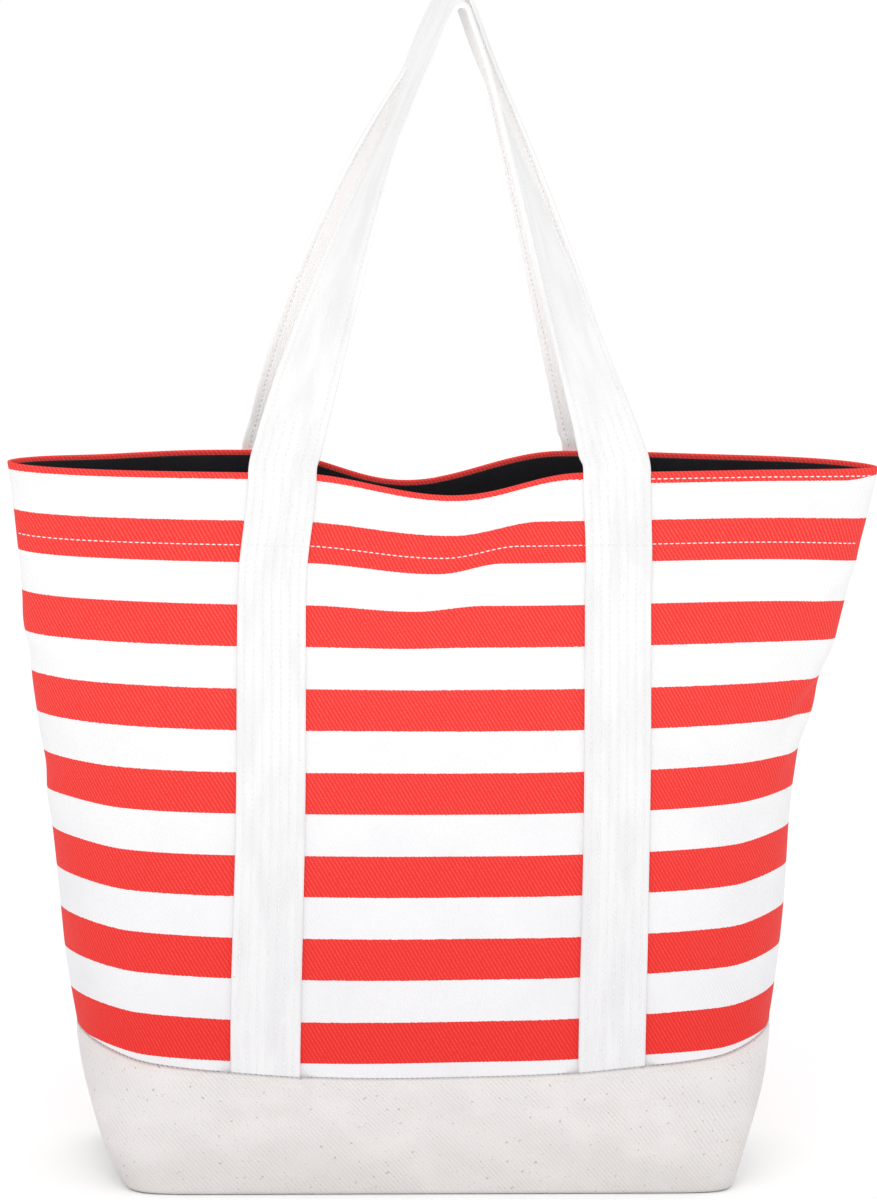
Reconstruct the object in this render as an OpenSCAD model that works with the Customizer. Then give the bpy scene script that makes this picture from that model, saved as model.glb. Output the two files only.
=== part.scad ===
// Lined canvas tote bag with two strap handles, standing open on its natural canvas base.
// The origin is at the middle of the base, on the surface that the bag stands on.
// +Z is up and -Y is the front.

/* [Body] */
// Height from the floor to the rim
body_h = 404; // [360:1:440]
// Width of the mouth between the side seams
mouth_w = 484; // [440:1:520]
// Front to back opening of the mouth
mouth_d = 64; // [50:1:90]
// Width of the base
base_w = 370; // [340:1:400]
// Front to back size of the base
base_d = 152; // [130:1:180]

/* [Canvas] */
// Thickness of the body and base canvas
canvas_t = 1.2; // [0.8:0.1:1.6]
// Thickness of the lining
lining_t = 0.5; // [0.3:0.1:0.8]
// Depth of the hem that is turned in at the mouth
hem_h = 40; // [30:1:50]
// Height of the natural canvas base wall
base_h = 72; // [60:1:90]

/* [Handles] */
// Width of the strap
strap_w = 38; // [32:1:44]
// Thickness of the folded strap
strap_t = 3; // [2.4:0.1:3.6]
// Distance between the middles of a handle's two legs
strap_spacing = 186; // [170:1:210]
// Height of the held handle above the rim
handle_h = 268; // [240:1:290]
// Radius of the strap's middle where it turns over at the top
crown_r = 6; // [5:0.5:9]

/* [Stitching] */
// Width of a row of thread
thread_w = 0.9; // [0.6:0.1:1.2]
// Height of the thread above the canvas
thread_h = 0.4; // [0.3:0.1:0.6]
// Rows of stitching on each leg
row_count = 7; // [5:1:7]
// Distance between the rows
row_pitch = 5; // [4:0.1:5]
// Distance of the rim's and the base wall's top stitching from the edge
edge_inset = 3.4; // [3:0.1:5]

/* [Hidden] */

RED = [0.95, 0.24, 0.23];
WHITE = [0.97, 0.97, 0.98];
NATURAL = [0.90, 0.87, 0.83];
BLACK = [0.10, 0.10, 0.11];

ply_gap = 0.1;       // air between two layers that are sewn together
rest_gap = 0.15;     // air between the curved panel and a strap that lies on it
joint_gap = 0.5;     // air between the two bodies at a handle's hinge
arc_steps = 28;      // facets across half of the body
wall_levels = 16;    // facets up the body
leg_levels = 12;     // facets up a leg
hem_levels = 3;      // facets up the hem
base_levels = 5;     // facets up the base wall
leg_columns = 4;     // facets across a leg
foot_square = 4.5;   // how square the body's outline is at the base
mouth_square = 2;    // and at the mouth, where it is an ellipse
taper_line = 0.65;   // share of the side's slope that is straight, the rest is curved
depth_power = 1.6;   // how late the front leans back towards the mouth

hem_z = body_h - hem_h;       // lower edge of the hem
hem_step = 1;                 // height over which a wall steps in under the hem
wall_foot = canvas_t + ply_gap;  // the walls stand on the base's canvas

hinge_rise = 8;                            // the strap flexes a little above the rim
hinge_z = body_h + hinge_rise;
leg_drop = 3;                              // and the leg ends this far under the loop's foot
leg_top = hinge_z - strap_t / 2 - leg_drop;
crown_z = body_h + handle_h - strap_t / 2;  // middle of the strap at its highest point
crown_slope = 25;                          // lean of the strap under the crown, from upright
foot_reach = 50;                           // how far the strap keeps going straight up
crown_reach = 100;                         // how far it keeps the crown's slope
strand_steps = 22;                         // facets along one strand
crown_steps = 5;                           // facets over half of the crown
row_rise = 30;                             // the inner rows end this far above the rim
flat_share = 0.15;                         // share of a strand above its foot that isn't twisted

// Half width, half depth and squareness of the body's outline at height z
function up(z) = min(1, z / body_h);
function taper(t) = taper_line * t + (1 - taper_line) * t ^ 2;
function half_w(z) = base_w / 2 + (mouth_w - base_w) / 2 * taper(up(z));
function half_d(z) = base_d / 2 - (base_d - mouth_d) / 2 * up(z) ^ depth_power;
function square_at(z) = foot_square + (mouth_square - foot_square) * up(z);

// Point at angle t on the outline at height z, grown outward by off
function on_body(t, z, off) = [
    (half_w(z) + off) * sign(cos(t)) * abs(cos(t)) ^ (2 / square_at(z)),
    (half_d(z) + off) * sign(sin(t)) * abs(sin(t)) ^ (2 / square_at(z)),
    z
];

// Point on the front at x and height z, off millimetres out from the canvas
function on_front(x, z, off) =
    [x, -half_d(z) * (1 - abs(x / half_w(z)) ^ square_at(z)) ^ (1 / square_at(z)) - off, z];

function spread(low, high, steps) = [for (i = [0:steps]) low + (high - low) * i / steps];

// Closed solid between two grids of points that face each other
module slab(outer, inner) {
    rows = len(outer);
    cols = len(outer[0]);
    count = rows * cols;
    points = [for (grid = [outer, inner]) for (row = grid) for (p = row) p];
    function at(i, j, side) = side * count + i * cols + j;
    faces = [
        for (i = [0:rows - 2]) for (j = [0:cols - 2]) each [
            [at(i, j, 0), at(i, j + 1, 0), at(i + 1, j + 1, 0)],
            [at(i, j, 0), at(i + 1, j + 1, 0), at(i + 1, j, 0)],
            [at(i, j, 1), at(i + 1, j + 1, 1), at(i, j + 1, 1)],
            [at(i, j, 1), at(i + 1, j, 1), at(i + 1, j + 1, 1)]
        ],
        for (j = [0:cols - 2]) each [
            [at(0, j, 0), at(0, j, 1), at(0, j + 1, 1)],
            [at(0, j, 0), at(0, j + 1, 1), at(0, j + 1, 0)],
            [at(rows - 1, j, 0), at(rows - 1, j + 1, 1), at(rows - 1, j, 1)],
            [at(rows - 1, j, 0), at(rows - 1, j + 1, 0), at(rows - 1, j + 1, 1)]
        ],
        for (i = [0:rows - 2]) each [
            [at(i, 0, 0), at(i + 1, 0, 1), at(i, 0, 1)],
            [at(i, 0, 0), at(i + 1, 0, 0), at(i + 1, 0, 1)],
            [at(i, cols - 1, 0), at(i, cols - 1, 1), at(i + 1, cols - 1, 1)],
            [at(i, cols - 1, 0), at(i + 1, cols - 1, 1), at(i + 1, cols - 1, 0)]
        ]
    ];
    polyhedron(points, faces);
}

// Front half of a wall that follows the body; each ring is [height, outer offset, inner offset]
module front_wall(rings) {
    angles = spread(360, 180, arc_steps);
    slab([for (r = rings) [for (t = angles) on_body(t, r[0], r[1])]],
         [for (r = rings) [for (t = angles) on_body(t, r[0], r[2])]]);
}
function rings(levels, off_out, off_in) = [for (z = levels) [z, off_out, off_in]];

module behind() {
    mirror([0, 1, 0]) children();
}

// ---- Shell and lining ----

// The canvas is doubled where it is turned in at the mouth
module panel() {
    color(RED) front_wall(concat(
        rings(spread(wall_foot, hem_z - hem_step, wall_levels), 0, -canvas_t),
        rings(spread(hem_z, body_h, hem_levels), 0, -2 * canvas_t)));
}

module base_wall() {
    color(NATURAL) front_wall(rings(spread(0, base_h, base_levels), ply_gap + canvas_t, ply_gap));
}

module lining_wall() {
    face = -canvas_t - ply_gap;
    over = face - canvas_t;
    color(BLACK) front_wall(concat(
        rings(spread(wall_foot, hem_z - 3 * hem_step, wall_levels), face, face - lining_t),
        rings(spread(hem_z - 2 * hem_step, body_h - ply_gap, hem_levels), over, over - lining_t)));
}

module floor_sheet(off, thickness) {
    outline = [for (t = [0:180 / arc_steps:359]) let (p = on_body(t, 0, off)) [p.x, p.y]];
    linear_extrude(thickness) polygon(outline);
}

module base_bottom() {
    color(NATURAL) floor_sheet(0, canvas_t);
}

module lining_bottom() {
    inset = canvas_t + lining_t + 2 * ply_gap;
    color(BLACK) translate([0, 0, canvas_t + ply_gap]) floor_sheet(-inset, lining_t);
}

// ---- Handles ----

leg_in = rest_gap;
leg_out = rest_gap + strap_t;
knuckle_r = strap_t / 2 - ply_gap;  // the loop's round foot, which turns clear of the leg
hinge_out = 2.4;                    // the hinge is this far in front of the leg, so that the loop can hang
hinge_y = on_front((strap_spacing - strap_w) / 2, body_h, rest_gap + strap_t / 2).y - hinge_out;

module leg(x_mid) {
    columns = spread(x_mid + strap_w / 2, x_mid - strap_w / 2, leg_columns);
    levels = concat(spread(base_h + joint_gap, body_h, leg_levels), [leg_top]);
    color(WHITE) slab([for (z = levels) [for (x = columns) on_front(x, z, leg_out)]],
                      [for (z = levels) [for (x = columns) on_front(x, z, leg_in)]]);
}

// The left strand's middle line, as a cubic curve from the hinge to the crown
strand_end = [-crown_r * cos(crown_slope), crown_z - crown_r + crown_r * sin(crown_slope)];
strand_ctrl = [
    [-strap_spacing / 2, hinge_z],
    [-strap_spacing / 2, hinge_z + foot_reach],
    strand_end - crown_reach * [sin(crown_slope), cos(crown_slope)],
    strand_end
];
function cubic(c, u) =
    (1 - u) ^ 3 * c[0] + 3 * (1 - u) ^ 2 * u * c[1] + 3 * (1 - u) * u ^ 2 * c[2] + u ^ 3 * c[3];
function cubic_way(c, u) =
    (1 - u) ^ 2 * (c[1] - c[0]) + 2 * (1 - u) * u * (c[2] - c[1]) + u ^ 2 * (c[3] - c[2]);
function smooth(u) = u * u * (3 - 2 * u);

// One station of the strap: its middle's [x, z], its lean from upright, and how far up it is from 0 to 1
strand = [for (i = [0:strand_steps]) let (u = i / strand_steps, way = cubic_way(strand_ctrl, u))
    [cubic(strand_ctrl, u), atan2(way[0], way[1]), u]];
crown = [for (i = [1:crown_steps]) let (b = crown_slope + (90 - crown_slope) * i / crown_steps)
    [[-crown_r * cos(b), crown_z - crown_r + crown_r * sin(b)], b, 1]];
left_half = concat(strand, crown);

// The strap's middle moves in to make room for the other handle, and its flat turns to face up at the crown
crown_y = -strap_w / 2 - joint_gap / 2;
function strap_y(u) = hinge_y + (crown_y - hinge_y) * smooth(u);
function twist(u) = 90 * smooth(max(0, (u - flat_share) / (1 - flat_share)));

// Point of the strap at a station, w across it and h out from its middle; side is -1 on the left strand
function on_strap(s, w, h, side) =
    let (lean = s[1], turn = twist(s[2]),
         across = [cos(lean) * cos(turn), -sin(turn), -sin(lean) * cos(turn)],
         along = [sin(lean), 0, cos(lean)],
         out = cross(along, across) * -1,
         p = [s[0][0], strap_y(s[2]), s[0][1]] + w * across + h * out)
    [-side * p.x, p.y, p.z];

// Whole loop between two offsets across the strap and two out from it
function loop_grid(offsets, h, stations) = [
    for (s = stations) [for (w = offsets) on_strap(s, w, h, 1)],
    for (i = [len(stations) - 2:-1:0]) [for (w = offsets) on_strap(stations[i], w, h, -1)]
];

module loop_strip(offsets, h_low, h_high, stations) {
    slab(loop_grid(offsets, h_low, stations), loop_grid(offsets, h_high, stations));
}

// The rows of thread, and the facets of the strap, which follow the two outer rows
row_offsets = [for (i = [0:row_count - 1]) (i - (row_count - 1) / 2) * row_pitch];
outer_row = row_offsets[row_count - 1];
side_lines = [strap_w / 2, outer_row + thread_w / 2, outer_row - thread_w / 2];
strap_lines = concat(side_lines, [for (i = [2:-1:0]) -side_lines[i]]);

module handle_loop() {
    color(WHITE) {
        loop_strip(strap_lines, -strap_t / 2, strap_t / 2, left_half);
        for (side = [-1, 1])
            translate([side * strap_spacing / 2 - strap_w / 2, hinge_y, hinge_z])
                rotate([0, 90, 0]) cylinder(r = knuckle_r, h = strap_w, $fn = 32);
    }
}

// ---- Thread ----

// Row of thread that follows the front at a height, over x from low to high, lying on something off thick.
// Its facets are shorter towards the side seams, where the front is more curved
module level_thread(z, low, high, off, steps) {
    columns = [for (a = spread(acos(high / half_w(z)), acos(low / half_w(z)), steps)) half_w(z) * cos(a)];
    heights = [z - thread_w / 2, z + thread_w / 2];
    slab([for (h = heights) [for (x = columns) on_front(x, h, off + thread_h)]],
         [for (h = heights) [for (x = columns) on_front(x, h, off)]]);
}

// Row of thread around the whole front half, on a layer off thick
module wrap_thread(z, off) {
    front_wall(rings([z - thread_w / 2, z + thread_w / 2], off + thread_h, off));
}

row_share = 0.97;            // the rows stop just short of the side seams
leg_clear = strap_w / 2 + 1;
over_leg = leg_out + thread_h + 2 * rest_gap;

module rows_across(z, reach) {
    color(WHITE) {
        for (side = [-1, 1]) {
            low = side * (strap_spacing / 2 + leg_clear);
            far = side * reach;
            level_thread(z, min(low, far), max(low, far), rest_gap, 12);
            mid = side * strap_spacing / 2;
            level_thread(z, mid - strap_w / 2, mid + strap_w / 2, over_leg, 4);
        }
        level_thread(z, -strap_spacing / 2 + leg_clear, strap_spacing / 2 - leg_clear, rest_gap, 12);
    }
}

module rim_stitching() {
    rows_across(body_h - edge_inset, half_w(body_h) * row_share);
}

module hem_stitching() {
    rows_across(hem_z, half_w(hem_z) * row_share);
}

module base_stitching() {
    color(WHITE) wrap_thread(base_h - edge_inset, 2 * ply_gap + canvas_t);
}

module leg_stitching() {
    levels = concat(spread(base_h + 2, body_h, leg_levels), [leg_top - 1]);
    color(WHITE)
        for (side = [-1, 1]) for (w = row_offsets) {
            x = side * strap_spacing / 2 + w;
            columns = [x + thread_w / 2, x - thread_w / 2];
            off = leg_out + rest_gap;
            slab([for (z = levels) [for (c = columns) on_front(c, z, off + thread_h)]],
                 [for (z = levels) [for (c = columns) on_front(c, z, off)]]);
        }
}

module loop_stitching() {
    low = strap_t / 2 + ply_gap;
    short = [for (s = strand) if (s[0][1] < body_h + row_rise && s[0][1] > hinge_z + strap_t) s];
    long = [for (s = left_half) if (s[0][1] > hinge_z + strap_t) s];
    color(WHITE) {
        for (w = [-outer_row, outer_row])
            loop_strip([w + thread_w / 2, w - thread_w / 2], low, low + thread_h, long);
        for (i = [1:row_count - 2]) for (side = [-1, 1]) {
            edges = [for (w = [side, -side]) row_offsets[i] + w * thread_w / 2];
            slab([for (s = short) [for (w = edges) on_strap(s, w, low, side)]],
                 [for (s = short) [for (w = edges) on_strap(s, w, low + thread_h, side)]]);
        }
    }
}

panel();  // front_panel
behind() panel();  // back_panel
base_wall();  // base_front
behind() base_wall();  // base_back
base_bottom();
lining_wall();  // lining_front
behind() lining_wall();  // lining_back
lining_bottom();
leg(-strap_spacing / 2);  // front_handle_leg_left
leg(strap_spacing / 2);  // front_handle_leg_right
handle_loop();  // front_handle_loop
behind() leg(-strap_spacing / 2);  // back_handle_leg_left
behind() leg(strap_spacing / 2);  // back_handle_leg_right
behind() handle_loop();  // back_handle_loop
rim_stitching();  // rim_stitching_front
behind() rim_stitching();  // rim_stitching_back
hem_stitching();  // hem_stitching_front
behind() hem_stitching();  // hem_stitching_back
base_stitching();  // base_stitching_front
behind() base_stitching();  // base_stitching_back
leg_stitching();  // front_leg_stitching
behind() leg_stitching();  // back_leg_stitching
loop_stitching();  // front_loop_stitching
behind() loop_stitching();  // back_loop_stitching
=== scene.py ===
"""Striped canvas tote bag with two strap handles, standing open on a pale floor."""
import math

import bpy
import numpy as np
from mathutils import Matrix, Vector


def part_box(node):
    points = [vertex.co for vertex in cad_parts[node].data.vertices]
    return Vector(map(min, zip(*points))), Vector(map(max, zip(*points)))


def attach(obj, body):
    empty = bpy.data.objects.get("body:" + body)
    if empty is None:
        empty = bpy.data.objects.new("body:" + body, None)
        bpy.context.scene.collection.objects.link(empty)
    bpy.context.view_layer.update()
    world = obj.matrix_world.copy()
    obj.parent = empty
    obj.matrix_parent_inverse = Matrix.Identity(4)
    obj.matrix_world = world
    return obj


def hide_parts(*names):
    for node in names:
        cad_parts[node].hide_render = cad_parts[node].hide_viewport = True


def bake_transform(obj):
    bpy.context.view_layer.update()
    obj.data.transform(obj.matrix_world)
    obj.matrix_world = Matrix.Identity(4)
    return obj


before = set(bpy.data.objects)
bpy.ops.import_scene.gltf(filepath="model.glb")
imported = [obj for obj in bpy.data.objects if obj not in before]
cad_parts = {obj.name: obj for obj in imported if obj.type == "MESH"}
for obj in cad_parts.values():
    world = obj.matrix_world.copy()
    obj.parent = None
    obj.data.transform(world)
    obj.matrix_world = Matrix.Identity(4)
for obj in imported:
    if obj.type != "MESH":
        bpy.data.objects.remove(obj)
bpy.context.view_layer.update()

# ---- Sizes, in millimetres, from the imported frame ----

MM = 0.001


def span(node):
    """The lowest and highest corners of a CAD node, in millimetres."""
    low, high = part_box(node)
    return np.array(low) / MM, np.array(high) / MM


MOUTH_HALF, _, BODY_H = span("front_panel")[1]
BASE_HALF, BASE_DEPTH, CANVAS = span("base_bottom")[1]
BASE_H = span("base_front")[1][2]
HEM_Z = float(np.mean([corner[2] for corner in span("hem_stitching_front")]))
leg_low, leg_high = span("front_handle_leg_right")
STRAP_W = leg_high[0] - leg_low[0]
CROWN_Z = span("front_handle_loop")[1][2]

MOUTH_DEPTH = 32.0  # half the mouth's opening, front to back
PANEL_W = 489.0  # width of a canvas panel between its side seams
LINING = 0.5  # thickness of the lining
STRAP_T = 2.8  # thickness of the folded strap
PLY = 0.15  # air between two layers

# ---- Form of the body ----

FOOT_FLAT = 18.0  # exponents of the outline: nearly a rectangle on the floor
FOOT_ROUND = 9.0
WALL_FLAT = 4.8  # flat-fronted with pointed sides further up
WALL_ROUND = 1.7
LEFT_FLAT = 2.2  # and a pointed oval at the mouth, rounder on the left
RIGHT_FLAT = 1.9
MOUTH_ROUND = 2.1
FOOT_TOP = 85.0  # where the foot's form has turned into the wall's
FLAT_TURN = (180, 370)  # where the wall's form turns into the mouth's
ROUND_TURN = (240, 400)
MOUTH_SKEW = 0.08  # the mouth is this much shallower at the right and deeper at the left
OUTLINE_POINTS = 1441
TAPER_LINE = 0.65  # share of the widening that is even
DEPTH_POWER = 1.6
TUCK_TOP = 60.0  # below this height the foot draws in,
TUCK_WIDTH = 14.0  # by this much at each side
TUCK_DEPTH = 2.0  # and at the front and the back
EASE_FROM = 112.0  # the cloth keeps its true length out to here
HALF_COLUMNS = 400  # columns of the master skin over one panel
SKIN_STEP = 2.0  # height between its rows


def smooth(value, low, high):
    """Smooth step from 0 at low to 1 at high."""
    x = np.clip((value - low) / (high - low), 0, 1)
    return x * x * (3 - 2 * x)


def bell(value, middle, width):
    """Smooth hump of height 1 at middle, gone about 2 widths away."""
    return np.exp(-((value - middle) / width) ** 2)


def hump(value):
    """Smooth hump of height 1 at 0, which ends at -1 and 1."""
    return np.cos(np.clip(value, -1, 1) * math.pi / 2) ** 2


def unit(vectors):
    """The vectors, made 1 long."""
    return vectors / np.linalg.norm(vectors, axis=-1, keepdims=True)


def half_size(t):
    """Half the body's width and half its depth at height t."""
    up = t / BODY_H
    taper = TAPER_LINE * up + (1 - TAPER_LINE) * up**2
    tuck = np.clip(1 - t / TUCK_TOP, 0, 1) ** 2
    width = BASE_HALF + (MOUTH_HALF - BASE_HALF) * taper - TUCK_WIDTH * tuck
    return width, BASE_DEPTH - (BASE_DEPTH - MOUTH_DEPTH) * up**DEPTH_POWER - TUCK_DEPTH * tuck


def outline(t):
    """Points of the front's outline at height t, from the left seam to the right one."""
    angle = np.linspace(math.pi, 0, OUTLINE_POINTS)
    side = np.cos(angle)
    mouth = LEFT_FLAT + (RIGHT_FLAT - LEFT_FLAT) * smooth(side, -1, 1)
    flat = WALL_FLAT + (mouth - WALL_FLAT) * smooth(t, *FLAT_TURN)
    flat += (FOOT_FLAT - WALL_FLAT) * smooth(t, FOOT_TOP, 0)
    rounded = WALL_ROUND + (MOUTH_ROUND - WALL_ROUND) * smooth(t, *ROUND_TURN)
    rounded += (FOOT_ROUND - WALL_ROUND) * smooth(t, FOOT_TOP, 0)
    width, depth = half_size(t)
    x = width * np.sign(side) * np.abs(side) ** (2 / flat)
    y = -depth * np.abs(np.sin(angle)) ** (2 / rounded)
    return x, y * (1 - MOUTH_SKEW * (t / BODY_H) ** 3 * x / width)


def spread_cloth(x, y, s):
    """Places on the curve for the cloth's s, which is true to length in the middle."""
    length = np.concatenate([[0], np.cumsum(np.hypot(np.diff(x), np.diff(y)))])
    length -= length[-1] / 2
    ease = (np.clip(np.abs(s) - EASE_FROM, 0, None) / (PANEL_W / 2 - EASE_FROM)) ** 2
    wanted = s + np.sign(s) * ease * (length[-1] - PANEL_W / 2)
    return np.interp(wanted, length, x), np.interp(wanted, length, y)


def crease(s, t, middle, rise, slope, length, width, depth):
    """A ridge, or a groove with a negative depth, along a slanting line."""
    angle = math.radians(slope)
    ds = s - middle
    dt = t - rise
    along = ds * math.cos(angle) + dt * math.sin(angle)
    across = dt * math.cos(angle) - ds * math.sin(angle)
    return depth * np.exp(-((along / length) ** 2) - (across / width) ** 2)


# Folds: (distance from the middle, height, slope in degrees, length, width, depth), in the front
# panel (True) and the back one, and round the side seams
FOLDS = {
    True: [(24, 236, 62, 46, 12, -0.9), (-2, 352, 78, 40, 11, -1.4), (34, 372, 48, 34, 10, 0.9),
           (-38, 374, -42, 34, 11, 0.9)],
    False: [(-30, 330, 70, 50, 14, -1.8), (48, 300, -58, 48, 14, 1.4), (-140, 200, 50, 55, 14, -1.2),
            (150, 250, -50, 50, 14, -1.3)],
}
SEAM_FOLDS = [
    (226, 338, 38, 24, 6, 1.0), (222, 326, 42, 22, 6, -1.1), (228, 268, 52, 26, 8, -2.1),
    (222, 284, 48, 26, 8, 1.5), (224, 246, 46, 24, 8, 1.3), (230, 230, 40, 20, 8, -0.9),
    (-228, 306, -30, 26, 10, 0.8), (-230, 288, -25, 22, 9, -0.8), (-224, 226, -18, 24, 10, -1.0),
    (-230, 205, -20, 20, 9, 0.7),
]
# Slanting waves: (height, length across, length up, phase)
WAVES = {
    True: [(0.7, 210, 330, 0.4), (0.5, -150, 260, 2.1), (0.35, 95, 170, 4.0)],
    False: [(1.1, 190, 300, 1.4), (0.8, -130, 240, 3.1), (0.5, 85, 150, 5.0)],
}
CALM_SEAM = 60  # the waves and folds of a panel reach their full height this far from a seam,
CALM_FOOT = (60, 110)  # and grow from the foot between these heights
BELLY = 4.5  # how far the middle of a panel stands out,
BELLY_REACH = 92  # how far across, and at what height and how high
BELLY_BAND = (210, 100)


def push(s, t, front):
    """How far the cloth stands out from its plain form, in millimetres."""
    edge = smooth(PANEL_W / 2 - np.abs(s), 0, CALM_SEAM)
    waves = np.zeros_like(s)
    for height, across, up, phase in WAVES[front]:
        waves += height * np.sin(2 * math.pi * (s / across + t / up) + phase)
    total = edge * waves
    for fold in FOLDS[front]:
        total += edge * crease(s, t, *fold)
    total += BELLY * hump(s / BELLY_REACH) * bell(t, *BELLY_BAND)
    mirrored = s if front else -s
    for fold in SEAM_FOLDS:
        total += crease(mirrored, t, *fold)
        # The fold goes on round the seam, into the other panel
        total += crease(math.copysign(PANEL_W, fold[0]) - mirrored, t, *fold)
    return total * smooth(t, *CALM_FOOT)


# The sag of the mouth between the straps, whose form on the front is given as (heights, values)
FRONT_SAG_MIDDLE = ([320, 354, 377], [-22, -5, 1])
FRONT_SAG_RIGHT = ([331, 354, 377, 404], [38, 36, 52, 78])
FRONT_SAG_LEFT = ([331, 377], [62, 92])
FRONT_SAG_DEPTH = ([270, 308, 331, 354, 377, 404], [0, 0.7, 3.3, 6.1, 7.9, 12.6])
FRONT_DROP = 0.86  # share of the depth by which the front drops,
FRONT_BOW = 0.62  # and by which it bows out
BACK_SAG_MIDDLE = -16.0
BACK_SAG_REACH = 95
BACK_DROP = 12.0  # how far the back's rim drops, and from what height
BACK_DROP_FROM = 250
BACK_BOW = 22.0  # and how far it bows in
BACK_BOW_FROM = 215
RIM_Z = 404  # height of the rim, in round numbers


def sag(s, t, front):
    """How far the cloth between the straps drops, and how far it moves forward."""
    if front:
        middle = np.interp(t, *FRONT_SAG_MIDDLE)
        reach = np.where(s > middle, np.interp(t, *FRONT_SAG_RIGHT), np.interp(t, *FRONT_SAG_LEFT))
        slack = hump((s - middle) / reach)
        depth = np.interp(t, *FRONT_SAG_DEPTH)
        return FRONT_DROP * slack * depth, FRONT_BOW * slack * depth
    slack = hump((s - BACK_SAG_MIDDLE) / BACK_SAG_REACH)
    drop = slack * smooth(t, BACK_DROP_FROM, RIM_Z) * BACK_DROP
    return drop, slack * smooth(t, BACK_BOW_FROM, RIM_Z) * BACK_BOW


# How far each side edge stands to the right of the plain taper: a fixed part, with steps
# (amount, start, end) at the left and hollows (amount, middle, width) at the right
LEFT_EDGE = -2.2
LEFT_STEPS = [(-5.9, 30, 130), (2.8, 290, 350), (1.2, 30, 0)]
RIGHT_EDGE = 0.4
RIGHT_HOLLOWS = [(-9.8, 226, 70), (-7.3, 26, 34)]
LEAN_FROM = 0.45  # share of the half width from which the sides lean


def side_lean(share, t):
    """How far the sides lean to the right; share is -1 at the left edge and 1 at the right."""
    left = LEFT_EDGE
    for amount, start, end in LEFT_STEPS:
        left = left + amount * smooth(t, start, end)
    right = RIGHT_EDGE
    for amount, middle, width in RIGHT_HOLLOWS:
        right = right + amount * bell(t, middle, width)
    return np.where(share < 0, left, right) * smooth(np.abs(share), LEAN_FROM, 1)


# Where the stripes rise, as (amount, shares of the half width, heights, heights)
RIGHT_RISE = (2.3, (0.2, 0.75), (300, 200), (10, 70))
EDGE_RISE = (3.5, (0.82, 1), (15, 75), (270, 170))
RIGHT_DROP = 6.5  # they drop at the right edge, below the mouth
RIGHT_DROP_BAND = (345, 65)
RIGHT_DROP_POWER = 7
STRAP_RISE = 0.8  # just above the base they rise under the right strap,
STRAP_RISE_X = (60, 110)
LEFT_DROP = 1.5  # and drop left of the middle
LEFT_DROP_X = (-45, 60)
FOOT_BAND = (75, 45)
FOOT_START = (5, 60)


def rise(share, t, amount, across, first, second):
    """One rise of the stripes."""
    return amount * smooth(share, *across) * smooth(t, *first) * smooth(t, *second)


def lift(x, z, share, t):
    """Heights of the cloth, with its stripes raised and lowered."""
    z = z - RIGHT_DROP * bell(t, *RIGHT_DROP_BAND) * np.clip(share, 0, 1) ** RIGHT_DROP_POWER
    z = z + rise(share, t, *RIGHT_RISE)
    across = STRAP_RISE * smooth(x, *STRAP_RISE_X) - LEFT_DROP * bell(x, *LEFT_DROP_X)
    z = z + across * bell(t, *FOOT_BAND) * smooth(t, *FOOT_START)
    return z + rise(np.abs(share), t, *EDGE_RISE)


# How far the straps draw the mouth together, at the left and at the right, and from what height
STRAP_PULL = {True: (3, 4.5, 345), False: (10, 6.2, 260)}
PULL_BAND = (95, 55)  # middle and width of the pull, across
BODY_SHIFT = 1.8  # the body stands this far to the right of its foot,
BODY_SHIFT_FROM = (80, 240)
MOUTH_SHIFT = 3  # and the mouth this much more
MOUTH_SHIFT_FROM = 330
BACK_SHIFT_SHARE = (0.5, 0.9)


def settle(points, s, t, front):
    """Let the mouth sag and lean the body, as the cloth has settled."""
    x, y, z = points
    drop, bow = sag(s, t, front)
    share = x / half_size(t)[0]
    left, right, start = STRAP_PULL[front]
    pull = np.where(x < 0, left, right) * smooth(t, start, RIM_Z) * np.sign(x)
    shift = BODY_SHIFT * smooth(t, *BODY_SHIFT_FROM) + MOUTH_SHIFT * smooth(t, MOUTH_SHIFT_FROM, RIM_Z)
    shift *= 1 if front else smooth(np.abs(share), *BACK_SHIFT_SHARE)
    across = x - pull * bell(np.abs(x), *PULL_BAND) + side_lean(share, t) + shift
    return across, y - bow, lift(x, z - drop, share, t)


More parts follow.
